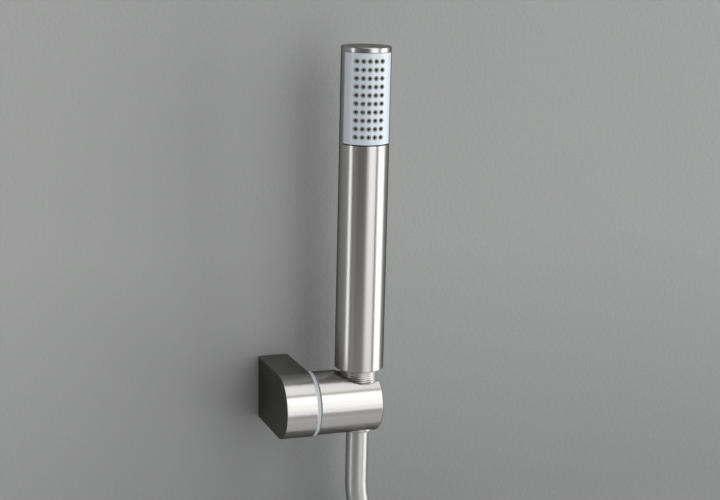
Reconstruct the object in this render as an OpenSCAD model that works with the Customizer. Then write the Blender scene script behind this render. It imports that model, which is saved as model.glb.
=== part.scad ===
// Round stick hand shower standing in a turning wall holder, with its hose.
// Millimetres. X runs along the wall, +Y into the wall, +Z up.
// The origin is midway between the two wall screws, on the wall.

/* [Handset] */
// Outside diameter of the handle, the faceplate and the cap
handset_d = 30; // [28:0.5:31]
// Lower rim of the handle to the top of the cap
handset_l = 196.4; // [180:0.2:230]
// Wall of the handle tube
tube_wall = 1.1; // [0.8:0.1:1.4]
// Height of the metal cap above the faceplate
cap_h = 2.9; // [2:0.1:5]
// Degrees that the spray face is turned about the handle, to the left
face_turn = 10; // [-45:1:45]

/* [Spray face] */
// Height of the faceplate
plate_h = 54.4; // [50:0.2:64]
// Degrees of the handle's round that the faceplate takes
plate_arc = 131; // [120:1:140]
// Rows of nozzles
nozzle_rows = 10; // [6:1:10]
// Nozzles in a row
nozzle_columns = 5; // [3:2:5]
// Distance between rows
row_step = 4.94; // [4.6:0.02:5.2]
// Distance between columns
column_step = 3.8; // [3.6:0.05:4]
// Diameter of a nozzle where it leaves the plate
nozzle_d = 2.8; // [2.2:0.1:3]
// Diameter of the jet hole
jet_d = 1.4; // [0.8:0.1:1.6]

/* [Wall bracket] */
// Width of the fixed block along the wall
block_w = 19; // [18:0.5:24]
// Diameter of the block's round front, and its height
block_d = 40; // [38:0.5:44]
// Wall to the axis that the holder turns on
axis_out = 44.9; // [42:0.1:60]
// Thickness of the plastic ring between block and holder
ring_t = 2.2; // [1.5:0.1:3]
// Distance between the two wall screws
screw_pitch = 24; // [22:0.5:24]

/* [Holder] */
// Diameter of the turning holder
holder_d = 39; // [38.5:0.5:42]
// Length of the turning holder
holder_l = 39.6; // [39:0.2:42]
// Right-hand end of the holder to the middle of the seat
seat_inset = 9.9; // [9:0.1:11]
// Width of the slot that the hose goes in through
slot_w = 15.6; // [15:0.1:17]
// Width of the channel that opens the top of the seat to the right
channel_w = 24.6; // [22:0.2:26]
// Degrees that the seat leans out from the wall
seat_lean = 1.9; // [0:0.1:5]

/* [Hose] */
// Outside diameter of the hose
hose_d = 14; // [12:0.5:14]
// Radius of the stored coil at the middle of its turns
coil_r = 83; // [75:1:84]
// Turns in the stored coil
coil_turns = 2.5; // [2.5:1:3.5]

/* [Hidden] */
$fn = 96;

steel = [0.66, 0.65, 0.62];
chrome = [0.78, 0.78, 0.78];
brass = [0.72, 0.60, 0.34];
pale_plastic = [0.84, 0.87, 0.89];
white_plastic = [0.92, 0.92, 0.90];
grey_plastic = [0.72, 0.74, 0.75];
silicone = [0.55, 0.53, 0.50];
black_rubber = [0.12, 0.12, 0.12];
black_plastic = [0.10, 0.10, 0.10];
hose_grey = [0.70, 0.71, 0.72];
strap_grey = [0.25, 0.26, 0.28];

// Overlap of solids that are joined, and how far a cut runs past a face
tiny = 0.01;
past = 1;
// Gap round a piece that is pressed in, and round one that turns or slides
press_gap = 0.05;
slide_gap = 0.1;
// Sides of small holes and rings
small_fn = 24;
hole_fn = 48;

// Heights along the handle, measured from the axis that the holder turns on
handset_r = handset_d / 2;
bore_r = handset_r - tube_wall;
rim_z = 21.6;
cap_top_z = rim_z + handset_l;
cap_z = cap_top_z - cap_h;
plate_z = cap_z - plate_h;
plate_gap_low = 0.45;
plate_gap_top = 0.25;
plate_t = 2;
mat_t = 0.9;
// Degrees of room beside the plate for its mat and for what lies behind
front_extra = 3;
nozzle_fn = 32;
// How far a nipple of the soft mat stays below the face
nozzle_recess = 0.5;

// Seat in the holder, and the nut that stands in it
holder_r = holder_d / 2;
block_r = block_d / 2;
ring_x = block_w / 2;
holder_gap = 0.4;
holder_x = ring_x + ring_t + holder_gap;
holder_end = holder_x + holder_l;
seat_x = holder_end - seat_inset;
seat_low_z = -20;
seat_low_r = 10.1;
seat_top_z = 13;
seat_top_r = 13.4;
mouth_r = 16.8;
mouth_z = 20.5;
channel_z = 9;
liner_t = 0.9;
liner_below = 2.6;
seat_gap = 0.12;
nut_top_z = 6;
nut_low_z = -19;
nut_shoulder_z = -6.1;
thread_r = 10.48;
hose_pass_r = 8;

// Pieces inside the water way
collar_r = 10.95;
ring_step = 1.4;
rings = 7;
stem_end_z = -2;
stem_top_z = rim_z + 16;
pipe_r = 7;
pipe_bore_r = 5.6;
carrier_z = plate_z - 12;
carrier_top_z = cap_z - 2.5;
plug_l = 2.2;
peg_r = 3.5;
peg_l = 9;
peg_y = 6.5;
carrier_oring_z = carrier_z + 9;
pipe_top_z = carrier_z + 6;
pipe_low_z = stem_top_z - 7;
pipe_oring_r = 0.4;
pipe_oring_z = [pipe_low_z + 3, pipe_top_z - 3];
stem_oring_z = rim_z + 5;
oring_r = 0.9;
small_oring_r = 0.78;

// Wall plate, the pocket for it in the block, and the grub screw below
plate_size = [14.2, 7.5, 34];
pocket = [14.6, 22, 34.4];
wall_hole_r = 2.25;
wall_head_r = 4.3;
wall_head_t = 3;
grub_r = 2;
grub_key_r = 1.15;
grub_y = -4;

// Pivot screw, from left to right, in its two washers
spigot_r = 11.8;
screw_r = 3;
screw_head_r = 5;
screw_key_r = 2.9;
key_t = 3;
screw_tip_x = -6;
screw_floor_x = 19;
screw_well_r = 6.2;
screw_bore_l = 30;
washer_t = 1.2;
washer_r = 5.9;
washer_x = screw_floor_x + 0.1;
head_x = washer_x + 2 * washer_t;
head_l = 6;

// Hose: where its straight end stops below the holder, where it starts to
// bend, and the coil that hangs below
hose_r = hose_d / 2;
ferrule_z = -18;
bend_z = -55;
dome_gap = 0.35;
coil_x = 41.3;
coil_z = -184.9;
coil_y0 = -36;
coil_pitch = 14;
coil_y1 = coil_y0 - coil_pitch * coil_turns;
coil_start = 64;
tie_t = 1.4;
tie_w = 9;

// Fittings on the ends of the hose
sleeve_l = 12;
shank_l = 11.5;
shank_r = 3.9;
shank_bore_r = 3.1;
barb_r = 4.2;
barb_step = 3.2;
flange_t = 1.9;
flange_r = 9.2;
washer_bore_r = 4.6;
seal_t = 2;
nut_l = 18;
nut_flat = 24;
nut_edge = 1.5;

// The stretch between the straight end and the coil, and the one after it
run_route = [
    [seat_x, -43.1, -55], [seat_x + 0.5, -42.8, -61.3], [seat_x + 1.7, -42.3, -67.5],
    [seat_x + 3.4, -41.6, -73.5], [seat_x + 5.7, -40.8, -79.4], [seat_x + 8.6, -40, -84.9],
    [seat_x + 12.1, -39.1, -90.2], [seat_x + 16, -38.3, -95.1], [seat_x + 20.4, -37.5, -99.6],
    [seat_x + 25.2, -36.8, -103.7], [seat_x + 30.4, -36.3, -107.3], [seat_x + 35.9, -36, -110.3]
];
tail_route = [
    [4.9, -71, -259.5], [-4.5, -71, -255.6], [-14.3, -71, -252.7], [-24.4, -71, -251],
    [-34.6, -71, -250.4], [-44, -71, -250.4]
];
tail_end = [-44, -71, -250.4];

// ---------- shared shapes ----------

// Stands children on the seat's leaning axis
module on_seat_axis() {
    translate([seat_x, -axis_out, 0]) rotate([seat_lean, 0, 0]) children();
}

// The same, turned as the handle is turned in its seat
module on_handle_axis() {
    on_seat_axis() rotate([0, 0, -face_turn]) children();
}

// Lays children along the holder's axis, their Z pointing right
module on_pivot_axis(x) {
    translate([x, -axis_out, 0]) rotate([0, 90, 0]) children();
}

// Sweeps a wall-side profile (y, z) along X
module along_x(x0, x1) {
    translate([x0, 0, 0]) rotate([90, 0, 90]) linear_extrude(x1 - x0) children();
}

module tube(r_out, r_in, z0, z1) {
    translate([0, 0, z0]) difference() {
        cylinder(h = z1 - z0, r = r_out);
        translate([0, 0, -1]) cylinder(h = z1 - z0 + 2, r = r_in);
    }
}

// Round groove about Z, from its floor outwards, half of its width each way
module groove(z, floor_r, half) {
    translate([0, 0, z - half]) tube(2 * handset_d, floor_r, 0, 2 * half);
}

module cone(z0, r0, z1, r1) {
    translate([0, 0, z0]) cylinder(h = z1 - z0, r1 = r0, r2 = r1);
}

module oring(z, r, section_r = oring_r) {
    translate([0, 0, z]) rotate_extrude() translate([r, 0]) circle(r = section_r, $fn = small_fn);
}

// Wedge of the handle's round, centred on the spray face
module face_wedge(arc, z0, z1) {
    reach = 3 * handset_r;
    half = arc / 2;
    translate([0, 0, z0]) linear_extrude(z1 - z0)
        polygon([[0, 0], [-reach * sin(half), -reach * cos(half)], [-reach, -reach],
                 [0, -2 * reach], [reach, -reach], [reach * sin(half), -reach * cos(half)]]);
}

// Children at every nozzle, their Z pointing out of the face; $across is the
// distance from the middle column
module at_nozzles() {
    first = plate_z + (plate_h - (nozzle_rows - 1) * row_step) / 2;
    for (row = [0 : nozzle_rows - 1], column = [0 : nozzle_columns - 1]) {
        $across = (column - (nozzle_columns - 1) / 2) * column_step;
        translate([$across, 0, first + row * row_step]) rotate([90, 0, 0]) children();
    }
}

function face_depth(r, across) = sqrt(r * r - across * across);
function seat_r(z) =
    seat_low_r + (seat_top_r - seat_low_r) * (z - seat_low_z) / (seat_top_z - seat_low_z);

// ---------- wall bracket ----------

module bracket_profile() {
    translate([-axis_out, -block_r]) square([axis_out, block_d]);
    translate([-axis_out, 0]) circle(r = block_r);
}

// Steel block with a pocket at the wall and a spigot for the friction ring
module bracket_block() {
    color(steel) difference() {
        union() {
            along_x(-block_w / 2, ring_x) bracket_profile();
            on_pivot_axis(ring_x - tiny) cylinder(h = ring_t - slide_gap, r = spigot_r);
        }
        translate([-pocket[0] / 2, -pocket[1], -pocket[2] / 2]) cube(pocket + [0, past, 0]);
        on_pivot_axis(screw_tip_x - 0.5) cylinder(h = screw_bore_l, r = screw_r + press_gap);
        translate([0, grub_y, -block_r - past])
            cylinder(h = block_r, r = grub_r + press_gap, $fn = hole_fn);
    }
}

// Plate that is screwed to the wall and carries the block
module wall_plate() {
    depth = plate_size[1];
    height = plate_size[2];
    color(chrome) difference() {
        translate([-plate_size[0] / 2, -depth, -height / 2]) cube(plate_size);
        for (side = [-1, 1]) translate([0, 0, side * screw_pitch / 2]) rotate([90, 0, 0]) {
            translate([0, 0, -past]) cylinder(h = depth + 2 * past, r = wall_hole_r);
            translate([0, 0, depth - wall_head_t]) cylinder(h = wall_head_t + past, r = wall_head_r);
        }
        translate([0, grub_y, -height / 2 - past])
            cylinder(h = 2 * past, r = grub_r + press_gap, $fn = hole_fn);
    }
}

// Headless screw with a hexagon socket, from the block into the plate
module grub_screw() {
    end_gap = 0.4;
    color(chrome) translate([0, grub_y, -block_r + end_gap]) difference() {
        cylinder(h = block_r - plate_size[2] / 2 + end_gap, r = grub_r, $fn = hole_fn);
        translate([0, 0, -past]) cylinder(h = key_t, r = grub_key_r, $fn = 6);
    }
}

// Plastic ring that the holder rubs on as it turns
module friction_ring() {
    color(grey_plastic) on_pivot_axis(ring_x)
        tube(holder_r + 0.2, spigot_r + slide_gap, 0, ring_t);
}

module pivot_screw() {
    color(chrome) on_pivot_axis(0) difference() {
        union() {
            translate([0, 0, screw_tip_x]) cylinder(h = head_x - screw_tip_x + tiny, r = screw_r);
            translate([0, 0, head_x]) cylinder(h = head_l, r = screw_head_r);
        }
        translate([0, 0, head_x + head_l - key_t])
            cylinder(h = key_t + past, r = screw_key_r, $fn = 6);
    }
}

module pivot_washer() {
    color(chrome) on_pivot_axis(washer_x) tube(washer_r, screw_r + slide_gap, 0, washer_t);
}

// Split ring that keeps the pivot tight
module spring_washer() {
    color(chrome) on_pivot_axis(washer_x + washer_t) difference() {
        tube(washer_r - past, screw_r + slide_gap, 0, washer_t);
        translate([0, screw_r - past, -past]) rotate([0, 0, 20]) cube([1, washer_r, washer_t + 2 * past]);
    }
}

// ---------- turning holder ----------

// Seat for the nut, its mouth opened out; inset makes it smaller all round
module seat_hollow(inset) {
    r0 = seat_r(seat_low_z - past) - inset;
    cone(seat_low_z - past, r0, seat_top_z, seat_top_r - inset);
    cone(seat_top_z - tiny, seat_top_r - inset - tiny, mouth_z, mouth_r - inset);
}

// Way in for the hose, from the right
module hose_slot(w) {
    translate([0, -w / 2, -holder_d]) cube([holder_d, w, 2 * holder_d]);
}

// Wider opening over the slot, which lets the collar in from the right
module top_channel(grow = 0) {
    translate([0, -channel_w / 2 - grow, channel_z])
        cube([holder_d, channel_w + 2 * grow, holder_d]);
}

module holder() {
    left_break = 0.4;
    right_break = 0.8;
    color(steel) difference() {
        on_pivot_axis(0) union() {
            cone(holder_x, holder_r - left_break, holder_x + left_break, holder_r);
            translate([0, 0, holder_x + left_break])
                cylinder(h = holder_l - left_break - right_break, r = holder_r);
            cone(holder_end - right_break, holder_r, holder_end, holder_r - right_break);
        }
        on_seat_axis() {
            seat_hollow(0);
            hose_slot(slot_w);
            top_channel();
        }
        on_pivot_axis(holder_x - past) cylinder(h = screw_bore_l, r = screw_r + press_gap);
        on_pivot_axis(screw_floor_x) cylinder(h = seat_x - screw_floor_x, r = screw_well_r);
    }
}

// Thin plastic sleeve in the seat, which keeps the nut from scratching; its
// rim stays below the steel all round
module seat_liner() {
    lip = 0.3;
    color(black_plastic) intersection() {
        on_seat_axis() difference() {
            seat_hollow(0.03);
            seat_hollow(liner_t);
            hose_slot(slot_w - 2 * lip);
            top_channel(lip);
        }
        on_pivot_axis(holder_x) cylinder(h = holder_l - 0.5, r = holder_r - liner_below);
    }
}

// ---------- handset ----------

// Handle tube, cut away at the top where the faceplate sits
module handle_tube() {
    edge = 0.3;
    color(steel) on_handle_axis() difference() {
        union() {
            cone(rim_z, handset_r - edge, rim_z + edge, handset_r);
            translate([0, 0, rim_z + edge]) cylinder(h = cap_z - rim_z - edge, r = handset_r);
        }
        translate([0, 0, rim_z - past]) cylinder(h = handset_l, r = bore_r);
        face_wedge(plate_arc, plate_z, cap_top_z + past);
        // breaks the edge below the plate
        intersection() {
            face_wedge(plate_arc, plate_z - edge, plate_z + tiny);
            difference() {
                translate([0, 0, plate_z - edge]) cylinder(h = edge + tiny, r = handset_d);
                cone(plate_z - edge, handset_r, plate_z + tiny, handset_r - edge / 2);
            }
        }
    }
}

// Solid cap with a short plug, and a peg that is glued into the carrier
module end_cap() {
    round_r = 0.7;
    color(steel) on_handle_axis() {
        translate([0, 0, cap_z]) cylinder(h = cap_h - round_r, r = handset_r);
        translate([0, 0, cap_z]) cylinder(h = cap_h, r = handset_r - round_r);
        oring(cap_top_z - round_r, handset_r - round_r, round_r);
        // the front of the plug is cut back behind the curved plate and its mat
        difference() {
            translate([0, 0, cap_z - plug_l]) cylinder(h = plug_l + tiny, r = bore_r - press_gap);
            face_wedge(plate_arc + front_extra, cap_z - plug_l - past, cap_z);
        }
        translate([0, 0, cap_z - plug_l])
            cylinder(h = plug_l + tiny, r = handset_r - plate_t - mat_t - 2 * slide_gap);
        translate([0, peg_y, cap_z - peg_l]) cylinder(h = peg_l, r = peg_r);
    }
}

// Curved plate with a field of nozzle holes
module faceplate() {
    color(pale_plastic) on_handle_axis() difference() {
        intersection() {
            tube(handset_r, handset_r - plate_t, plate_z + plate_gap_low, cap_z - plate_gap_top);
            face_wedge(plate_arc - 1.2, plate_z, cap_z);
        }
        at_nozzles() cylinder(h = handset_r + past, r = nozzle_d / 2 + slide_gap, $fn = nozzle_fn);
    }
}

// Soft sheet behind the plate, with a drilled nipple through every hole
module nozzle_mat() {
    sheet_r = handset_r - plate_t - 0.02;
    rim = 1;
    color(silicone) on_handle_axis() difference() {
        union() {
            intersection() {
                tube(sheet_r, sheet_r - mat_t, plate_z + rim, cap_z - rim);
                face_wedge(plate_arc - 8 * rim, plate_z, cap_z);
            }
            at_nozzles() {
                base = face_depth(sheet_r, $across) - mat_t / 2;
                tip = face_depth(handset_r, $across) - nozzle_recess;
                low_r = nozzle_d / 2 + press_gap;
                translate([0, 0, base])
                    cylinder(h = tip - base, r1 = low_r, r2 = nozzle_d / 2, $fn = nozzle_fn);
            }
        }
        at_nozzles() cylinder(h = handset_r + past, r = jet_d / 2, $fn = small_fn);
    }
}

// Body behind the mat: it holds the water chamber and takes the pipe
module spray_carrier() {
    front_r = handset_r - plate_t - mat_t - slide_gap;
    length = carrier_top_z - carrier_z;
    chamber_w = 18;
    chamber_back = 4;
    chamber_wall = 1.6;
    duct_r = 2;
    duct_y = -5;
    color(black_plastic) on_handle_axis() difference() {
        union() {
            difference() {
                translate([0, 0, carrier_z]) cylinder(h = length, r = bore_r - slide_gap);
                face_wedge(plate_arc + front_extra, plate_z - 0.5, cap_z);
            }
            translate([0, 0, carrier_z]) cylinder(h = length, r = front_r);
        }
        groove(carrier_oring_z, bore_r - 2 * oring_r - slide_gap, oring_r + slide_gap);
        translate([0, peg_y, cap_z - peg_l - 0.5]) cylinder(h = peg_l, r = peg_r + 0.03);
        translate([-chamber_w / 2, -handset_r, plate_z + chamber_wall])
            cube([chamber_w, handset_r - chamber_back, carrier_top_z - plate_z - 2 * chamber_wall]);
        translate([0, 0, carrier_z - past])
            cylinder(h = pipe_top_z - carrier_z + past, r = pipe_r + slide_gap);
        // ducts the water from the pipe to the chamber
        translate([0, duct_y, pipe_top_z - past])
            cylinder(h = plate_z + chamber_wall + 2 * past - pipe_top_z, r = duct_r, $fn = hole_fn);
    }
}

module carrier_oring() {
    color(black_rubber) on_handle_axis() oring(carrier_oring_z, bore_r - oring_r - tiny);
}

// Plastic pipe from the stem up to the carrier, with an O-ring at each end
module water_pipe() {
    color(white_plastic) on_handle_axis() difference() {
        tube(pipe_r, pipe_bore_r, pipe_low_z + 0.2, pipe_top_z - 0.2);
        for (z = pipe_oring_z) groove(z, pipe_r - 2 * pipe_oring_r, 2 * pipe_oring_r);
    }
}

module pipe_orings() {
    color(black_rubber) on_handle_axis()
        for (z = pipe_oring_z) oring(z, pipe_r - 0.3, pipe_oring_r);
}

// Rounded rings turned on the top of the collar
module collar_rings() {
    for (step = [0 : rings - 1])
        oring(rim_z - ring_step * (step + 0.5), collar_r - ring_step / 2 + slide_gap, ring_step / 2);
}

// Threaded end of the handset, with the collar that shows above the holder
module stem() {
    gap = 0.3;
    color(steel) on_handle_axis() difference() {
        union() {
            translate([0, 0, rim_z + gap]) cylinder(h = stem_top_z - rim_z - gap, r = bore_r - press_gap);
            cone(nut_top_z + gap, collar_r - gap, rim_z - rings * ring_step, collar_r);
            translate([0, 0, rim_z - rings * ring_step - tiny])
                cylinder(h = rings * ring_step + gap + 2 * tiny, r = collar_r - 2 * slide_gap);
            collar_rings();
            translate([0, 0, stem_end_z])
                cylinder(h = nut_top_z - stem_end_z + gap + tiny, r = thread_r - slide_gap);
        }
        translate([0, 0, pipe_low_z]) cylinder(h = stem_top_z, r = pipe_r + slide_gap);
        translate([0, 0, stem_end_z - past]) cylinder(h = stem_top_z, r = pipe_bore_r);
        groove(stem_oring_z, bore_r - 2 * small_oring_r - slide_gap, small_oring_r + slide_gap);
    }
}

module stem_oring() {
    color(black_rubber) on_handle_axis()
        oring(stem_oring_z, bore_r - small_oring_r - 0.05, small_oring_r);
}

// Disc that evens out the flow
module flow_disc() {
    disc_t = 3;
    hole_r = 0.9;
    hole_out = 3.2;
    color(white_plastic) on_handle_axis() translate([0, 0, stem_end_z + 0.5]) difference() {
        cylinder(h = disc_t, r = pipe_bore_r - 0.03);
        translate([0, 0, -past]) cylinder(h = disc_t + 2 * past, r = hole_r, $fn = small_fn);
        for (step = [0 : 5]) rotate([0, 0, 60 * step]) translate([hole_out, 0, -past])
            cylinder(h = disc_t + 2 * past, r = hole_r, $fn = small_fn);
    }
}

module inlet_washer() {
    color(black_rubber) on_handle_axis()
        tube(flange_r + slide_gap, washer_bore_r, nut_shoulder_z + flange_t + 0.15, stem_end_z);
}

// Conical nut: it joins the hose to the handset and stands in the holder
module cone_nut() {
    lip = 0.6;
    inset = liner_t + seat_gap;
    nut_low_r = seat_r(nut_low_z) - inset;
    nut_top_r = seat_r(nut_top_z - lip) - inset;
    color(chrome) on_handle_axis() difference() {
        union() {
            cone(nut_low_z, nut_low_r - 0.4, nut_low_z + 0.4, nut_low_r);
            cone(nut_low_z + 0.4, nut_low_r, nut_top_z - lip, nut_top_r);
            cone(nut_top_z - lip, nut_top_r, nut_top_z, nut_top_r - lip);
        }
        translate([0, 0, nut_shoulder_z]) cylinder(h = holder_d, r = thread_r);
        translate([0, 0, nut_low_z - past]) cylinder(h = holder_d, r = hose_pass_r);
    }
}

// ---------- hose ----------

// Flanged tail with three barbs, its flange at the top
module hose_tail_piece(flange_z) {
    low = flange_z - shank_l;
    difference() {
        union() {
            translate([0, 0, flange_z]) cylinder(h = flange_t, r = flange_r);
            translate([0, 0, low]) cylinder(h = shank_l + tiny, r = shank_r);
            for (step = [0 : 2])
                cone(low + barb_step * step, shank_r, low + barb_step * (step + 0.9), barb_r);
        }
        translate([0, 0, low - past]) cylinder(h = 2 * shank_l, r = shank_bore_r);
    }
}

// Sleeve pressed on round the end of the hose, with two crimped rings
module crimp_sleeve(z0, z1) {
    difference() {
        tube(hose_pass_r - slide_gap, barb_r, z0, z1);
        for (z = [z0 + sleeve_l / 3, z0 + 2 * sleeve_l / 3]) groove(z, hose_pass_r - 0.5, 0.5);
    }
}

module hose_insert() {
    color(brass) on_seat_axis() hose_tail_piece(ferrule_z + sleeve_l);
}

module hose_ferrule() {
    color(chrome) on_seat_axis() crimp_sleeve(ferrule_z, ferrule_z + sleeve_l);
}

// Straight end of the hose, which slides up through the seat with the handset
module hose_top() {
    end_z = bend_z + hose_r + dome_gap;
    color(hose_grey) on_seat_axis()
        translate([0, 0, end_z]) cylinder(h = ferrule_z - end_z, r = hose_r);
}

function unit(v) = v / norm(v);
function heading(route, i) =
    unit(route[min(i + 1, len(route) - 1)] - route[max(i - 1, 0)]);

// Ring of points square to the route
function ring_at(centre, along, r, sides) =
    let (side = unit(cross(along, [0, 1, 0])), up = cross(side, along))
    [for (k = [0 : sides - 1]) centre + r * (cos(360 * k / sides) * side + sin(360 * k / sides) * up)];

// Hose along a route; each ring has its own centre, heading and radius
module hose_through(centres, headings, radii, sides = 12) {
    last = len(centres) - 1;
    points = [for (i = [0 : last]) each ring_at(centres[i], headings[i], radii[i], sides)];
    skin = [for (i = [0 : last - 1], k = [0 : sides - 1])
        let (next = (k + 1) % sides, here = i * sides, above = here + sides)
        [here + k, here + next, above + next, above + k]];
    ends = [[for (k = [0 : sides - 1]) sides - 1 - k], [for (k = [0 : sides - 1]) last * sides + k]];
    polyhedron(points, concat(skin, ends), convexity = 4);
}

// The hose from where it bends freely to the coil; its upper end is domed
// about the bend, so it swings without touching the straight end
module hose_run() {
    dome = [75, 50, 25];
    down = heading(run_route, 0);
    centres = concat([for (a = dome) run_route[0] - down * hose_r * sin(a)], run_route);
    headings = concat([for (a = dome) down], [for (i = [0 : len(run_route) - 1]) heading(run_route, i)]);
    radii = concat([for (a = dome) hose_r * cos(a)], [for (p = run_route) hose_r]);
    color(hose_grey) hose_through(centres, headings, radii);
}

module hose_tail() {
    color(hose_grey) hose_through(
        tail_route,
        [for (i = [0 : len(tail_route) - 1]) heading(tail_route, i)],
        [for (p = tail_route) hose_r]);
}

// Section of the coil, its turns side by side
module coil_section(grow = 0) {
    translate([coil_r - hose_r - grow, 0]) square([2 * (hose_r + grow), coil_y0 - coil_y1]);
    for (end = [0, coil_y0 - coil_y1]) translate([coil_r, end]) circle(r = hose_r + grow, $fn = 48);
}

module on_coil_axis() {
    translate([coil_x, coil_y0, coil_z]) rotate([90, 0, 0]) children();
}

module hose_coil() {
    color(hose_grey) on_coil_axis() rotate_extrude() coil_section();
}

// Strap round the bundle of turns; at and width are degrees round the coil
module coil_tie(at, width = tie_w) {
    color(strap_grey) on_coil_axis() rotate([0, 0, at - width / 2]) rotate_extrude(angle = width)
        difference() {
            coil_section(tie_t);
            coil_section();
        }
}

// The fittings point left, straight on from the tail
module at_supply_end() {
    translate(tail_end) rotate([0, -90, 0]) children();
}

module supply_ferrule() {
    color(chrome) at_supply_end() crimp_sleeve(0, sleeve_l);
}

module supply_insert() {
    color(brass) at_supply_end() hose_tail_piece(sleeve_l);
}

module supply_washer() {
    seal_z = sleeve_l + flange_t;
    color(black_rubber) at_supply_end()
        tube(flange_r + 2 * slide_gap, washer_bore_r, seal_z, seal_z + seal_t);
}

// Six-sided nut for the wall outlet, turned round at both ends
module supply_nut() {
    low = sleeve_l - 5;
    high = low + nut_l;
    round_r = nut_flat / 2 / cos(30) - 0.1;
    thread_z = sleeve_l + flange_t + seal_t;
    color(chrome) at_supply_end() difference() {
        intersection() {
            translate([0, 0, low]) cylinder(h = nut_l, r = nut_flat / 2 / cos(30), $fn = 6);
            union() {
                cone(low, round_r - nut_edge, low + nut_edge, round_r);
                translate([0, 0, low + nut_edge]) cylinder(h = nut_l - 2 * nut_edge, r = round_r);
                cone(high - nut_edge, round_r, high, round_r - nut_edge);
            }
        }
        translate([0, 0, low - past]) cylinder(h = nut_l / 2, r = hose_pass_r);
        translate([0, 0, sleeve_l - slide_gap])
            cylinder(h = flange_t + seal_t + 2 * slide_gap, r = flange_r + 0.35);
        translate([0, 0, thread_z]) cylinder(h = nut_l, r = thread_r);
    }
}

bracket_block();
wall_plate();
grub_screw();
friction_ring();
pivot_screw();
pivot_washer();
spring_washer();
holder();
seat_liner();
handle_tube();
end_cap();
faceplate();
nozzle_mat();
spray_carrier();
carrier_oring();
water_pipe();
pipe_orings();
stem();
stem_oring();
flow_disc();
inlet_washer();
cone_nut();
hose_insert();
hose_ferrule();
hose_top();
hose_run();
hose_coil();
coil_tie(50);  // coil_tie_top
coil_tie(-96);  // coil_tie_low
hose_tail();
supply_ferrule();
supply_insert();
supply_washer();
supply_nut();
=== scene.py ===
# A round stick hand shower in its turning wall holder, with the hose hanging below it.
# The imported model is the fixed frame. This script gives it its finishes, its hose and straps, and
# the thread in the supply nut. X runs to the right, Y into the wall and Z up, in metres.
import math

import bmesh
import bpy
from mathutils import Matrix, Vector


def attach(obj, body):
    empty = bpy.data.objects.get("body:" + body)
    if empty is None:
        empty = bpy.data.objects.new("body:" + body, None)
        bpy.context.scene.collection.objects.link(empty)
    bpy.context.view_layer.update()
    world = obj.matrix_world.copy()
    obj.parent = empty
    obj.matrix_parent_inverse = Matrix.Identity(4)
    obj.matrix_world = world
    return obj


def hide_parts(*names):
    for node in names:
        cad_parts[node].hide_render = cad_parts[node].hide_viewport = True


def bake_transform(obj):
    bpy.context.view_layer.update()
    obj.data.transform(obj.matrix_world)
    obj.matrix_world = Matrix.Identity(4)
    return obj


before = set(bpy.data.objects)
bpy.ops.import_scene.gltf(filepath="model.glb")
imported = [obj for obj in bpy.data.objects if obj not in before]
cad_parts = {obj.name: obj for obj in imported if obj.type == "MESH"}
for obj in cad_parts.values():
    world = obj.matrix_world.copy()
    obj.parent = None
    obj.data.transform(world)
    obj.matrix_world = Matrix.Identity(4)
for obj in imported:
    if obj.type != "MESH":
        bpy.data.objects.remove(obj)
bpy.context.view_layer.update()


# ---------- camera ----------
# A long lens a little above the head of the hand shower. It stands to the left of the shower, turns
# to the right, tips down and rolls by less than a degree.

camera_turn = math.radians(-19.44)
camera_tip = math.radians(90 - 10.99)
camera_roll = math.radians(0.70)

camera_data = bpy.data.cameras.new("camera")
camera_data.sensor_width = 36
camera_data.lens = 74.2
camera = bpy.data.objects.new("camera", camera_data)
camera.location = (-0.2528, -0.8799, 0.2662)
camera.rotation_euler = (
    Matrix.Rotation(camera_turn, 3, "Z")
    @ Matrix.Rotation(camera_tip, 3, "X")
    @ Matrix.Rotation(camera_roll, 3, "Z")
).to_euler()
bpy.context.scene.collection.objects.link(camera)
bpy.context.scene.camera = camera


# ---------- hose ----------
# A smooth silver hose of clear PVC over a fine metallic wrap, 1.5 m long with its fittings. It
# hangs from the handset through the slot of the holder, and the rest is stored in a round coil.

hose_d = 0.014
lean = math.radians(1.9)
seat_x = 0.0418
seat_axis = Vector((0, -math.sin(lean), math.cos(lean)))
seat_centre = Vector((seat_x, -0.0449, 0))

below_seat = (-0.018, -0.024, -0.030, -0.036, -0.042, -0.048)
swing_to_coil = (
    (0, -0.0431, -0.055), (0.0005, -0.0428, -0.0613), (0.0017, -0.0423, -0.0675),
    (0.0034, -0.0416, -0.0735), (0.0057, -0.0408, -0.0794), (0.0086, -0.04, -0.0849),
    (0.0121, -0.0391, -0.0902), (0.016, -0.0383, -0.0951), (0.0204, -0.0375, -0.0996),
    (0.0252, -0.0368, -0.1037), (0.0304, -0.0363, -0.1073),
)
coil_centre = Vector((0.0413, 0, -0.1849))
coil_r = 0.083
coil_first_y = -0.036
coil_last_y = -0.071
coil_turns = 2.5
coil_start_degrees = 64
coil_steps = 60
tail_to_ferrule = (
    (0.0049, -0.071, -0.2595), (-0.0045, -0.071, -0.2556), (-0.0143, -0.071, -0.2527),
    (-0.0244, -0.071, -0.251), (-0.0346, -0.071, -0.2504), (-0.044, -0.071, -0.2504),
)

hose_path = [seat_centre + seat_axis * s for s in below_seat]
hose_path += [Vector((seat_x + x, y, z)) for x, y, z in swing_to_coil]
for step in range(coil_steps):
    share = step / coil_steps
    at = math.radians(coil_start_degrees - 360 * coil_turns * share)
    depth = coil_first_y + (coil_last_y - coil_first_y) * share
    hose_path.append(coil_centre + Vector((coil_r * math.cos(at), depth, coil_r * math.sin(at))))
hose_path += [Vector(place) for place in tail_to_ferrule]


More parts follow.
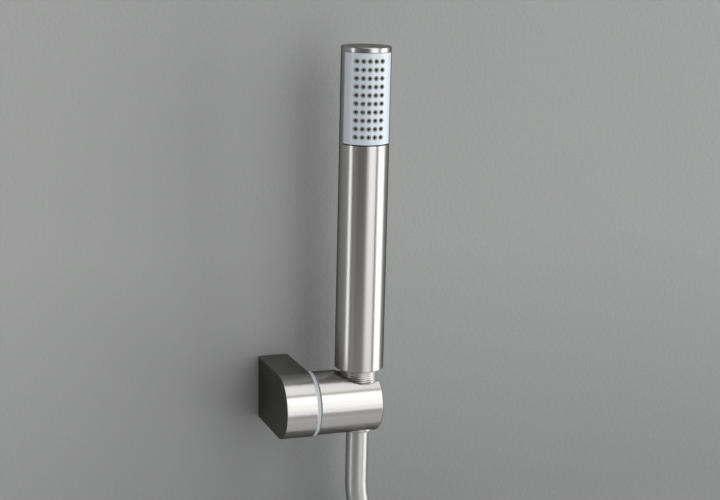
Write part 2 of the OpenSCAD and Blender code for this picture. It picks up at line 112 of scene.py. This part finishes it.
def tube_along(name, path, radius):
    """A closed tube swept along a path, with a UV map: U along it and V round it."""
    curve = bpy.data.curves.new(name + "_line", "CURVE")
    curve.dimensions = "3D"
    curve.bevel_depth = radius
    curve.bevel_resolution = 10
    curve.resolution_u = 3
    curve.use_fill_caps = True
    spline = curve.splines.new("NURBS")
    spline.points.add(len(path) - 1)
    for point, place in zip(spline.points, path):
        point.co = (*place, 1)
    spline.order_u = 4
    spline.use_endpoint_u = True
    line = bpy.data.objects.new(name + "_line", curve)
    bpy.context.scene.collection.objects.link(line)
    bpy.context.view_layer.update()
    mesh = bpy.data.meshes.new_from_object(line)
    bpy.data.objects.remove(line)
    mesh.name = name
    mesh.shade_smooth()
    tube = bpy.data.objects.new(name, mesh)
    bpy.context.scene.collection.objects.link(tube)
    return tube


def new_material(name, colour, roughness, metallic=0.0, coat=0.0, coat_roughness=0.1):
    """A Principled material and its shader, ready for the nodes that vary it."""
    material = bpy.data.materials.new(name)
    material.use_nodes = True
    shader = material.node_tree.nodes["Principled BSDF"]
    shader.inputs["Base Color"].default_value = (*colour, 1)
    shader.inputs["Roughness"].default_value = roughness
    shader.inputs["Metallic"].default_value = metallic
    shader.inputs["Coat Weight"].default_value = coat
    shader.inputs["Coat Roughness"].default_value = coat_roughness
    return material, shader


def object_noise(material, scale, stretch=(1, 1, 1), turn=(0, 0, 0), detail=3):
    """Noise in object space, its grain drawn out by the stretch."""
    nodes, links = material.node_tree.nodes, material.node_tree.links
    place = nodes.new("ShaderNodeTexCoord")
    mapping = nodes.new("ShaderNodeMapping")
    mapping.vector_type = "TEXTURE"
    mapping.inputs["Rotation"].default_value = turn
    mapping.inputs["Scale"].default_value = stretch
    noise = nodes.new("ShaderNodeTexNoise")
    noise.inputs["Scale"].default_value = scale
    noise.inputs["Detail"].default_value = detail
    links.new(place.outputs["Object"], mapping.inputs["Vector"])
    links.new(mapping.outputs["Vector"], noise.inputs["Vector"])
    return noise.outputs["Fac"]


noise_low = 0.3
noise_high = 0.7


def tint(material, shader, value, dark, light):
    """Base colour between a dark and a light tone, over the range that noise really covers."""
    ramp = material.node_tree.nodes.new("ShaderNodeValToRGB")
    ramp.color_ramp.elements[0].position = noise_low
    ramp.color_ramp.elements[0].color = (*dark, 1)
    ramp.color_ramp.elements[1].position = noise_high
    ramp.color_ramp.elements[1].color = (*light, 1)
    material.node_tree.links.new(value, ramp.inputs["Fac"])
    material.node_tree.links.new(ramp.outputs["Color"], shader.inputs["Base Color"])


def mottle(material, shader, scale, dark, light, **grain):
    """Base colour that drifts between two tones with object noise, which is handed back."""
    noise = object_noise(material, scale, **grain)
    tint(material, shader, noise, dark, light)
    return noise


def vary_roughness(material, shader, noise, low, high):
    """Roughness that drifts from low to high with the noise."""
    span = material.node_tree.nodes.new("ShaderNodeMapRange")
    span.inputs["From Min"].default_value = noise_low
    span.inputs["From Max"].default_value = noise_high
    span.inputs["To Min"].default_value = low
    span.inputs["To Max"].default_value = high
    material.node_tree.links.new(noise, span.inputs["Value"])
    material.node_tree.links.new(span.outputs["Result"], shader.inputs["Roughness"])


hose_skin, hose_shader = new_material(
    "hose_skin", (0.50, 0.50, 0.49), 0.40, metallic=0.95, coat=0.2, coat_roughness=0.08
)
hose_shader.inputs["Specular Tint"].default_value = (0.2, 0.2, 0.2, 1)
hose_shader.inputs["Anisotropic"].default_value = 0.5
hose_along = hose_skin.node_tree.nodes.new("ShaderNodeTangent")
hose_along.direction_type = "UV_MAP"
hose_skin.node_tree.links.new(hose_along.outputs["Tangent"], hose_shader.inputs["Tangent"])
hose_cloud = mottle(hose_skin, hose_shader, 250, (0.49, 0.49, 0.48), (0.51, 0.51, 0.50))
vary_roughness(hose_skin, hose_shader, hose_cloud, 0.39, 0.42)

hose = tube_along("hose", hose_path, hose_d / 2)
hose.data.materials.append(hose_skin)
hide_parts("hose_top", "hose_run", "hose_coil", "hose_tail")


# ---------- satin steel ----------
# The handle, its cap and the conical nut are turned from stainless steel and brushed round their
# leaning axis, and the block and the holder round the level one. The ringed collar of the stem is
# only turned, so it is duller, and its steel is made 1.3 times paler as painted light.

steel_colour = (0.53, 0.52, 0.505)
steel_dark = (0.515, 0.505, 0.49)
steel_light = (0.545, 0.535, 0.52)
line_scale = 1600
lines_round_z = (14, 14, 0.35)
lines_round_x = (0.35, 14, 14)
line_relief = 0.015
line_depth = 0.0001
thin_edge = 0.0003
thick_edge = 0.0006


def bump(material, shader, value, strength, distance):
    """Relief from a 0 to 1 value."""
    relief = material.node_tree.nodes.new("ShaderNodeBump")
    relief.inputs["Strength"].default_value = strength
    relief.inputs["Distance"].default_value = distance
    material.node_tree.links.new(value, relief.inputs["Height"])
    material.node_tree.links.new(relief.outputs["Normal"], shader.inputs["Normal"])


def soften_edges(material, radius):
    """Rounds the shading of sharp edges, which real pieces have broken with emery."""
    nodes, links = material.node_tree.nodes, material.node_tree.links
    edge = nodes.new("ShaderNodeBevel")
    edge.samples = 4
    edge.inputs["Radius"].default_value = radius
    relief = next(node for node in nodes if node.type == "BUMP")
    links.new(edge.outputs["Normal"], relief.inputs["Normal"])


def brushed(name, axis, drawn, rough, grain, stretch, turn, edge, painted_light_scale=1.0):
    """Steel brushed round an axis, which draws its highlights out along that axis."""
    # painted_light_scale brightens the steel's tones; above 1 it is painted light.
    colour, dark, light = (
        [part * painted_light_scale for part in shade] for shade in (steel_colour, steel_dark, steel_light)
    )
    steel, shader = new_material(name, colour, rough, metallic=1.0)
    shader.inputs["Specular Tint"].default_value = (0.3, 0.3, 0.3, 1)
    shader.inputs["Anisotropic"].default_value = drawn
    along = steel.node_tree.nodes.new("ShaderNodeVectorTransform")
    along.vector_type = "VECTOR"
    along.convert_from = "OBJECT"
    along.convert_to = "WORLD"
    along.inputs["Vector"].default_value = axis
    steel.node_tree.links.new(along.outputs["Vector"], shader.inputs["Tangent"])
    lines = mottle(steel, shader, line_scale, dark, light, stretch=stretch, turn=turn, detail=4)
    vary_roughness(steel, shader, lines, rough - grain, rough + grain)
    bump(steel, shader, lines, line_relief, line_depth)
    soften_edges(steel, edge)
    return steel


def finish_nodes(material, *nodes):
    """Gives CAD nodes their finish."""
    for node in nodes:
        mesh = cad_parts[node].data
        mesh.materials.clear()
        mesh.materials.append(material)


handle_steel = brushed(
    "steel_brushed_round_handle", seat_axis, drawn=0.8, rough=0.31, grain=0.03,
    stretch=lines_round_z, turn=(lean, 0, 0), edge=thin_edge,
)
holder_steel = brushed(
    "steel_brushed_round_holder", (1, 0, 0), drawn=0.55, rough=0.26, grain=0.012,
    stretch=lines_round_x, turn=(0, 0, 0), edge=thick_edge,
)
collar_steel = brushed(
    "steel_turned_collar_painted_light", seat_axis, drawn=0.5, rough=0.48, grain=0.02,
    stretch=lines_round_z, turn=(lean, 0, 0), edge=thin_edge, painted_light_scale=1.3,
)
finish_nodes(handle_steel, "handle_tube", "end_cap", "cone_nut")
finish_nodes(holder_steel, "bracket_block", "holder")
finish_nodes(collar_steel, "stem")


# ---------- seat in the holder ----------
# The conical seat is bored in the steel of the holder and left unpolished. Its wall is painted
# near black as the shade deep in the seat, so it shows no shine.

seat_wall_near = 0.009
seat_wall_far = 0.0175
turned_inwards = -0.6


def paint_faces(node, material, wanted):
    """Gives a second finish to the faces of a CAD node whose centre and normal are wanted."""
    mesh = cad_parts[node].data
    mesh.materials.append(material)
    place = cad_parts[node].matrix_world
    turn = place.to_3x3()
    for face in mesh.polygons:
        if wanted(place @ face.center, turn @ face.normal):
            face.material_index = len(mesh.materials) - 1


def inside_seat(centre, normal):
    """True on the conical wall of the seat, which faces its leaning axis."""
    out = centre - seat_centre
    out -= seat_axis * out.dot(seat_axis)
    near_wall = seat_wall_near < out.length < seat_wall_far
    return near_wall and normal.dot(out.normalized()) < turned_inwards


# Painted shade: the seat's wall gets near black steel for the shade deep in the seat.
seat_shade, seat_shade_shader = new_material("bored_steel_painted_shade", (0.05, 0.048, 0.045), 0.5, metallic=0.6)
seat_shade_marks = mottle(
    seat_shade, seat_shade_shader, 900, (0.035, 0.034, 0.032), (0.07, 0.066, 0.06), stretch=(1, 1, 0.2)
)
vary_roughness(seat_shade, seat_shade_shader, seat_shade_marks, 0.42, 0.6)
paint_faces("holder", seat_shade, inside_seat)


# ---------- faced ends ----------
# The flat ends of the steel block and holder are faced off on the lathe, before the rounds are
# brushed. The cut is finer than the brushing, and its lines don't draw out the light. Their steel
# is also a little darker and dimmer at grazing angles, as painted shade on the ends.

squarely_sideways = 0.99


def flat_end(centre, normal):
    """True on the flat ends of the block and the holder."""
    return abs(normal.x) > squarely_sideways


# Painted shade: the ends' steel is darker than the rounds' steel.
faced_and_shaded, faced_and_shaded_shader = new_material("steel_faced_end_and_painted_shade", (0.50, 0.49, 0.475), 0.24, metallic=1.0)
faced_and_shaded_shader.inputs["Specular Tint"].default_value = (0.12, 0.12, 0.12, 1)
faced_lines = mottle(
    faced_and_shaded, faced_and_shaded_shader, line_scale, (0.485, 0.475, 0.46), (0.515, 0.505, 0.49),
    stretch=lines_round_z,
)
vary_roughness(faced_and_shaded, faced_and_shaded_shader, faced_lines, 0.21, 0.27)
bump(faced_and_shaded, faced_and_shaded_shader, faced_lines, line_relief, line_depth)
soften_edges(faced_and_shaded, thick_edge)
paint_faces("bracket_block", faced_and_shaded, flat_end)
paint_faces("holder", faced_and_shaded, flat_end)


# ---------- shade under the spray face ---------
# The handle's wall is cut away where the spray face sits. Its cut end and broken edge below the
# face are painted near black as the shade in the gap under the face.

handle_frame = Matrix.Translation(seat_centre) @ Matrix.Rotation(lean, 4, "X")
to_handle = handle_frame.inverted()
cut_height = 0.1607
cut_slack = 0.0003
turned_upwards = 0.4


def cut_end(centre, normal):
    """True on the cut end of the handle's wall and on its broken edge."""
    at_cut = abs((to_handle @ centre).z - cut_height) < cut_slack
    return at_cut and normal.dot(seat_axis) > turned_upwards


# Painted shade: matt near black on the cut end, for the shadow line in the gap.
gap_shade, gap_shade_shader = new_material("painted_gap_shade", (0.010, 0.010, 0.010), 0.9)
gap_shade_shader.inputs["Specular IOR Level"].default_value = 0.1
mottle(gap_shade, gap_shade_shader, 1800, (0.008, 0.008, 0.008), (0.013, 0.013, 0.013))
paint_faces("handle_tube", gap_shade, cut_end)


# ---------- plated pieces and brass inserts ----------
# The wall plate, the screws and washers, the ferrules and the supply nut are steel or brass under a
# bright plate with faint handling marks. The two inserts in the hose's ends are bare turned brass.

plate, plate_shader = new_material("bright_plate", (0.80, 0.80, 0.79), 0.12, metallic=1.0)
plate_marks = mottle(plate, plate_shader, 400, (0.74, 0.74, 0.73), (0.84, 0.84, 0.83))
vary_roughness(plate, plate_shader, plate_marks, 0.08, 0.18)
finish_nodes(
    plate, "wall_plate", "grub_screw", "pivot_screw", "pivot_washer", "spring_washer",
    "hose_ferrule", "supply_ferrule", "supply_nut",
)

brass, brass_shader = new_material("turned_brass", (0.60, 0.45, 0.20), 0.25, metallic=1.0)
mottle(brass, brass_shader, 500, (0.52, 0.39, 0.17), (0.68, 0.52, 0.25))
finish_nodes(brass, "hose_insert", "supply_insert")


# ---------- spray face ----------
# The face is moulded in pale ABS. A mat of grey silicone behind it sends a soft nozzle into each of
# its holes. The jet hole in a nozzle is narrow and gets little light, so its wall is painted near
# black as shade.

nozzle_rows = 10
nozzle_columns = 5
row_step = 0.00494
column_step = 0.0038
face_middle = 0.1879
face_turn = math.radians(-10)
jet_r = 0.0007
jet_slack = 1.05

to_face = (handle_frame @ Matrix.Rotation(face_turn, 4, "Z")).inverted()
first_row = face_middle - (nozzle_rows - 1) / 2 * row_step
first_column = -(nozzle_columns - 1) / 2 * column_step
jets = [
    (first_column + column * column_step, first_row + row * row_step)
    for row in range(nozzle_rows)
    for column in range(nozzle_columns)
]


def inside_jet(centre, normal):
    """True on the wall of a jet hole."""
    spot = to_face @ centre
    return any(
        math.hypot(spot.x - across, spot.z - height) < jet_r * jet_slack for across, height in jets
    )


pale, pale_shader = new_material(
    "pale_plastic", (0.69, 0.76, 0.83), 0.30, coat=0.25, coat_roughness=0.15
)
pale_grain = mottle(pale, pale_shader, 1500, (0.68, 0.75, 0.82), (0.70, 0.77, 0.84))
bump(pale, pale_shader, pale_grain, 0.05, 0.0001)
finish_nodes(pale, "faceplate")

silicone, silicone_shader = new_material("nozzle_silicone", (0.31, 0.31, 0.28), 0.5)
mottle(silicone, silicone_shader, 1800, (0.29, 0.29, 0.26), (0.33, 0.33, 0.30))
finish_nodes(silicone, "nozzle_mat")

# Painted shade: the wall of each jet hole is near black for the shade inside it.
jet_shade, jet_shader = new_material("jet_hole_painted_shade", (0.006, 0.006, 0.006), 0.7)
mottle(jet_shade, jet_shader, 1800, (0.004, 0.004, 0.004), (0.009, 0.009, 0.009))
paint_faces("nozzle_mat", jet_shade, inside_jet)


# ---------- ring, liner and inner plastics ----------
# The friction ring is moulded in grey ABS, and the water pipe and the flow disc in white POM. The
# spray carrier is black, and the liner of the seat is black as painted shade in the seat.

grey, grey_shader = new_material("grey_plastic", (0.55, 0.58, 0.60), 0.42)
mottle(grey, grey_shader, 1500, (0.53, 0.56, 0.58), (0.57, 0.60, 0.62))
finish_nodes(grey, "friction_ring")

white, white_shader = new_material("white_plastic", (0.82, 0.82, 0.80), 0.45)
mottle(white, white_shader, 1200, (0.80, 0.80, 0.78), (0.84, 0.84, 0.82))
finish_nodes(white, "water_pipe", "flow_disc")

black, black_shader = new_material("black_plastic", (0.012, 0.012, 0.012), 0.45)
mottle(black, black_shader, 1500, (0.010, 0.010, 0.010), (0.016, 0.016, 0.016))
# Painted shade: the seat liner is black to stand in for the shade in the gap round the collar.
finish_nodes(black, "seat_liner", "spray_carrier")


# ---------- seals ----------
# The O-rings of the carrier, the pipe and the stem lie in turned grooves, and a flat washer seals
# each end of the hose. All are moulded in black rubber.

rubber, rubber_shader = new_material("black_rubber", (0.02, 0.02, 0.02), 0.6)
mottle(rubber, rubber_shader, 1800, (0.015, 0.015, 0.015), (0.03, 0.03, 0.03))
finish_nodes(rubber, "carrier_oring", "pipe_orings", "stem_oring", "inlet_washer", "supply_washer")


# ---------- coil straps ----------
# Two reusable hook-and-loop straps hold the stored turns. Each is a thin woven band that goes once
# round the turns and closes over itself, its end squared off and free.

strap_t = 0.0006
strap_arc = math.radians(9)
strap_gap = 0.0001
strap_overlap = 0.2
strap_stations = 144
strap_across = 8
climb_from = 0.97
climb_over = 0.05
climb_gap = 0.00005
weave_along = 0.0008
weave_across = 0.0016
weave_scale = 320

strap_weave, weave_shader = new_material("woven_strap", (0.03, 0.03, 0.032), 0.9)
weave_nodes, weave_links = strap_weave.node_tree.nodes, strap_weave.node_tree.links
weave_place = weave_nodes.new("ShaderNodeUVMap")
weave_place.uv_map = "along_and_across"
crossing = weave_nodes.new("ShaderNodeMath")
crossing.operation = "MULTIPLY"
for slot, (direction, density) in enumerate((("X", 0.9), ("Y", 1.0))):
    threads = weave_nodes.new("ShaderNodeTexWave")
    threads.bands_direction = direction
    threads.inputs["Scale"].default_value = weave_scale * density
    threads.inputs["Distortion"].default_value = 1.2
    threads.inputs["Detail"].default_value = 2
    weave_links.new(weave_place.outputs["UV"], threads.inputs["Vector"])
    weave_links.new(threads.outputs["Fac"], crossing.inputs[slot])
weave = crossing.outputs["Value"]
tint(strap_weave, weave_shader, weave, (0.012, 0.012, 0.013), (0.055, 0.055, 0.06))
bump(strap_weave, weave_shader, weave, 0.5, 0.0003)


def strap_line(share, first, last):
    """Radius and depth at a share of the way round the turns, and the two parts of the way out."""
    r = hose_d / 2
    straight = abs(last - first)
    bend = math.pi * r
    lap = 2 * (straight + bend)
    along = (share * lap + straight / 2) % lap
    if along < straight:
        return coil_r + r, first - along, 1, 0
    along -= straight
    if along < bend:
        radial, deep = math.cos(along / r), -math.sin(along / r)
        return coil_r + r * radial, last + r * deep, radial, deep
    along -= bend
    if along < straight:
        return coil_r - r, last + along, -1, 0
    along -= straight
    radial, deep = -math.cos(along / r), math.sin(along / r)
    return coil_r + r * radial, first + r * deep, radial, deep


def piece_from(shape, name, material):
    """An object made from a finished bmesh, with its material."""
    mesh = bpy.data.meshes.new(name)
    shape.to_mesh(mesh)
    shape.free()
    mesh.materials.append(material)
    piece = bpy.data.objects.new(name, mesh)
    bpy.context.scene.collection.objects.link(piece)
    return piece


def coil_strap(name, degrees, first, last):
    """A flat band bent round the turns at one angle of the coil, over the given depths."""
    band = bmesh.new()
    bmesh.ops.create_grid(band, x_segments=strap_stations, y_segments=strap_across, size=0.5)
    bmesh.ops.translate(band, vec=(0.5, 0.5, 0), verts=band.verts)
    lifted = bmesh.ops.extrude_face_region(band, geom=band.faces[:])["geom"]
    top = [part for part in lifted if isinstance(part, bmesh.types.BMVert)]
    bmesh.ops.translate(band, vec=(0, 0, 1), verts=top)
    bmesh.ops.recalc_face_normals(band, faces=band.faces)
    band.normal_update()

    # The weave runs on round the band: across its lower face, up one side and back over the upper.
    uv = band.loops.layers.uv.new("along_and_across")
    for face in band.faces:
        for loop in face.loops:
            along, across, up = loop.vert.co
            row = across * strap_across
            if abs(face.normal.y) > 0.5:
                row = up
            elif up > 0.5:
                row = 2 * strap_across + 1 - row
            loop[uv].uv = (along * strap_stations * weave_along, row * weave_across)

    for vert in band.verts:
        along, across, up = vert.co
        share = along * (1 + strap_overlap)
        radius, depth, radial, deep = strap_line(share, first, last)
        climb = min(max((share - climb_from) / climb_over, 0), 1)
        climb *= climb * (3 - 2 * climb)
        lift = strap_gap + climb * (strap_t + climb_gap) + up * strap_t
        at = math.radians(degrees) + (across - 0.5) * strap_arc
        r = radius + radial * lift
        vert.co = coil_centre + Vector((r * math.cos(at), depth + deep * lift, r * math.sin(at)))
    # The bend mirrors the flat band, so its faces are turned back outwards.
    bmesh.ops.reverse_faces(band, faces=band.faces)

    strap = piece_from(band, name, strap_weave)
    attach(strap, "hose")
    return strap


top_strap = coil_strap("strap_top", 50, -0.0365, -0.0645)
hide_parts("coil_tie_top")
low_strap = coil_strap("strap_low", -96, -0.0422, -0.0702)
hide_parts("coil_tie_low")


# ---------- thread in the supply nut ----------
# A G1/2 pipe thread cut in the open end of the plated nut. It makes almost four turns and runs out
# at both ends.

thread_pitch = 0.001814
thread_r = 0.01048
root_bite = 0.00004
thread_h = 0.00112
thread_from = -0.0609
thread_to = -0.0680
thread_steps = 32
run_out_steps = 16
run_out_least = 0.04
ridge_profile = ((-0.48, 0), (-0.08, 1), (0.08, 1), (0.48, 0))
nut_centre = Vector((thread_from, -0.071, -0.2504))

thread_length = abs(thread_to - thread_from)
ridge_steps = int(thread_length / thread_pitch * thread_steps)
root_r = thread_r + root_bite

ridge = bmesh.new()
corners = [
    ridge.verts.new(nut_centre + Vector((side * thread_pitch, root_r - thread_h * up, 0)))
    for side, up in ridge_profile
]
for corner, after in zip(corners, corners[1:] + corners[:1]):
    ridge.edges.new((corner, after))
bmesh.ops.spin(
    ridge, geom=ridge.verts[:] + ridge.edges[:], cent=nut_centre, axis=(1, 0, 0),
    dvec=(-thread_length / ridge_steps, 0, 0), angle=math.tau * ridge_steps / thread_steps,
    steps=ridge_steps,
)
# The spin adds one ring of corners at a step. The first and the last rings are lowered to the root.
for number, vert in enumerate(ridge.verts):
    step = number // len(ridge_profile)
    height = max(min(step, ridge_steps - step, run_out_steps) / run_out_steps, run_out_least)
    out = Vector((0, *(vert.co - nut_centre).yz))
    vert.co += out.normalized() * (root_r - out.length) * (1 - height)
bmesh.ops.holes_fill(ridge, edges=ridge.edges, sides=len(ridge_profile))
bmesh.ops.recalc_face_normals(ridge, faces=ridge.faces)

nut_thread = piece_from(ridge, "supply_nut_thread", plate)
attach(nut_thread, "supply_nut")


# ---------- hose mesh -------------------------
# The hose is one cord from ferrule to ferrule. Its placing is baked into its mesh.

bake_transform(hose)


# ---------- wall and floor ----------
# The wall is grey plaster, with its colour a little lighter upwards and to the left as painted
# light, and the floor well below is plain and pale. Lamps and cameras behind them see through
# both, so that the back shows.

wall_y = 0.0008
# Painted light: each entry lightens the wall's colour along one axis.
painted_wall_light = (
    ("Z", (-0.09, 0.09), (0.3, 0.55)),
    ("X", (-0.20, -0.02), (0.20, 0.0)),
)

wall_material, wall_shader = new_material("grey_plaster_and_painted_light", (0.40, 0.405, 0.39), 0.9)
wall_nodes, wall_links = wall_material.node_tree.nodes, wall_material.node_tree.links
wall_place = wall_nodes.new("ShaderNodeTexCoord")
wall_split = wall_nodes.new("ShaderNodeSeparateXYZ")
wall_links.new(wall_place.outputs["Object"], wall_split.inputs["Vector"])
painted_wall_light_tone = wall_nodes.new("ShaderNodeMath")
painted_wall_light_tone.operation = "ADD"
for slot, (way, places, tones) in enumerate(painted_wall_light):
    light_falloff = wall_nodes.new("ShaderNodeMapRange")
    light_falloff.inputs["From Min"].default_value, light_falloff.inputs["From Max"].default_value = places
    light_falloff.inputs["To Min"].default_value, light_falloff.inputs["To Max"].default_value = tones
    wall_links.new(wall_split.outputs[way], light_falloff.inputs["Value"])
    wall_links.new(light_falloff.outputs["Result"], painted_wall_light_tone.inputs[slot])
tint(
    wall_material, wall_shader, painted_wall_light_tone.outputs["Value"],
    (0.277, 0.286, 0.282), (0.420, 0.428, 0.421),
)
bump(wall_material, wall_shader, object_noise(wall_material, 520), 0.5, 0.0006)

floor_material, floor_shader = new_material("pale_floor", (0.80, 0.80, 0.79), 0.8)


def clear_from_behind(material, shader):
    """Lets lamps shine through a stage piece, and cameras look through it from its back."""
    nodes, links = material.node_tree.nodes, material.node_tree.links
    clear = nodes.new("ShaderNodeBsdfTransparent")
    behind = nodes.new("ShaderNodeNewGeometry")
    light_path = nodes.new("ShaderNodeLightPath")
    either = nodes.new("ShaderNodeMath")
    either.operation = "MAXIMUM"
    mixed = nodes.new("ShaderNodeMixShader")
    links.new(behind.outputs["Backfacing"], either.inputs[0])
    links.new(light_path.outputs["Is Shadow Ray"], either.inputs[1])
    links.new(either.outputs["Value"], mixed.inputs["Fac"])
    links.new(shader.outputs["BSDF"], mixed.inputs[1])
    links.new(clear.outputs["BSDF"], mixed.inputs[2])
    links.new(mixed.outputs["Shader"], nodes["Material Output"].inputs["Surface"])


def stage_plane(name, width, height, place, turn, material):
    """A flat sheet of the stage, turned about its middle and then set in its place."""
    sheet = bmesh.new()
    bmesh.ops.create_grid(sheet, x_segments=1, y_segments=1, size=0.5)
    bmesh.ops.scale(sheet, vec=(width, height, 1), verts=sheet.verts)
    bmesh.ops.transform(sheet, matrix=Matrix.Translation(place) @ turn, verts=sheet.verts)
    piece_from(sheet, name, material)


clear_from_behind(wall_material, wall_shader)
clear_from_behind(floor_material, floor_shader)
upright = Matrix.Rotation(math.radians(90), 4, "X")
stage_plane("wall", 6, 5.9, (0, wall_y, 1.05), upright, wall_material)
stage_plane("floor", 6, 6, (0, -2.9, -1.9), Matrix.Identity(4), floor_material)


# ---------- lamps and room light ----------
# Soft boxes stand round the shower in front of the wall. The front ones draw the bright band down
# the middle of the handle and fade out in a wing, and the side ones draw the bands at its edges.

lamp_aim = Vector((0.04, -0.05, 0.08))
lamp_distance = 2.4
room_grey = 0.30
room_strength = 0.22


def lamp(name, azimuth, elevation, width, height, power):
    """A soft box that faces the shower. Azimuth is to the right of straight in front."""
    data = bpy.data.lights.new(name, "AREA")
    data.shape = "RECTANGLE"
    data.size = width
    data.size_y = height
    data.energy = power
    a, e = math.radians(azimuth), math.radians(elevation)
    way = Vector((math.sin(a) * math.cos(e), -math.cos(a) * math.cos(e), math.sin(e)))
    box = bpy.data.objects.new(name, data)
    box.location = lamp_aim + way * lamp_distance
    box.rotation_euler = way.to_track_quat("Z", "Y").to_euler()
    box.visible_camera = False
    bpy.context.scene.collection.objects.link(box)


lamp("front_box", 23.2, 27, 1.42, 1.02, 10.8)
lamp("front_box_low", 23.2, 3.4, 1.42, 0.97, 8.7)
lamp("front_box_foot", 23.2, -15, 1.42, 0.59, 3.9)
lamp("front_wing", 2, 8.5, 0.40, 2.83, 2.9)
lamp("low_box", -12, -38, 5.0, 1.7, 9)
lamp("ceiling_box", 21, 72, 1.7, 2.4, 19.5)
lamp("right_box", 73, -1, 1.85, 3.0, 43)
lamp("left_strip", -82, -2, 0.55, 3.0, 11)
lamp("left_wing", -63, -2, 1.02, 3.0, 1.3)

world = bpy.data.worlds.new("room")
bpy.context.scene.world = world
world.use_nodes = True
room = world.node_tree.nodes["Background"]
room.inputs["Color"].default_value = (room_grey, room_grey, room_grey, 1)
room.inputs["Strength"].default_value = room_strength
bpy.context.scene.view_settings.view_transform = "Standard"
